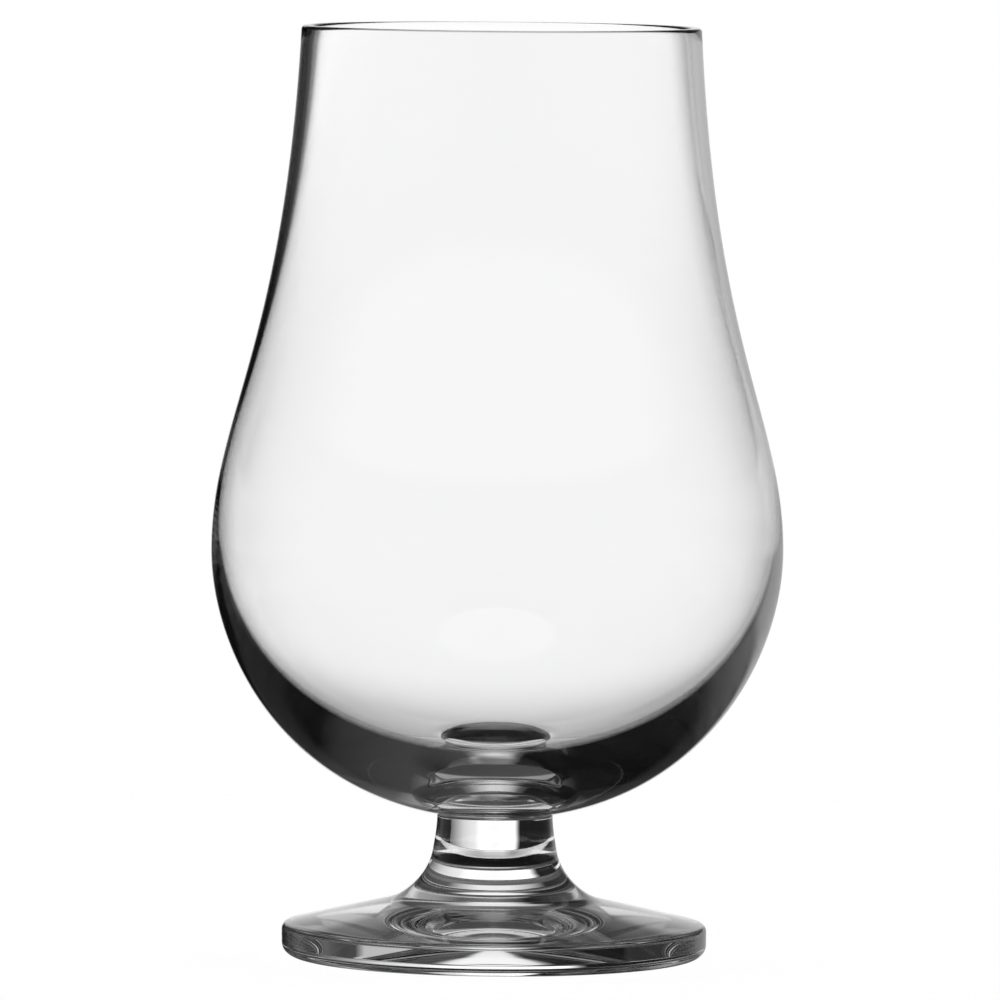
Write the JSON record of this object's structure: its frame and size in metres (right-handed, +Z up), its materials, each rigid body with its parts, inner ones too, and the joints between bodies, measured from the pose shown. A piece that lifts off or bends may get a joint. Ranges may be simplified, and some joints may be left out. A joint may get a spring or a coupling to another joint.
{
  "type": "rum glass",
  "caption": "Short-stemmed tulip glass for tasting rum: a round belly that narrows to a tall open mouth, on a short solid stem and a disc foot.",
  "frame": {"origin": "centre of the standing face under the foot, on the glass's axis", "axes": "+Z up along the axis, from the foot to the mouth; X and Y are any two level directions, because the glass is round"},
  "size_m": [0.0706, 0.0706, 0.115],
  "materials": {
    "bowl_glass": "clear, polished",
    "stem_glass": "clear, fire-polished",
    "foot_glass": "clear, fire-polished"
  },
  "bodies": {
    "root": {"bowl": "bowl_glass", "stem": "stem_glass", "foot": "foot_glass"}
  },
  "joints": []
}
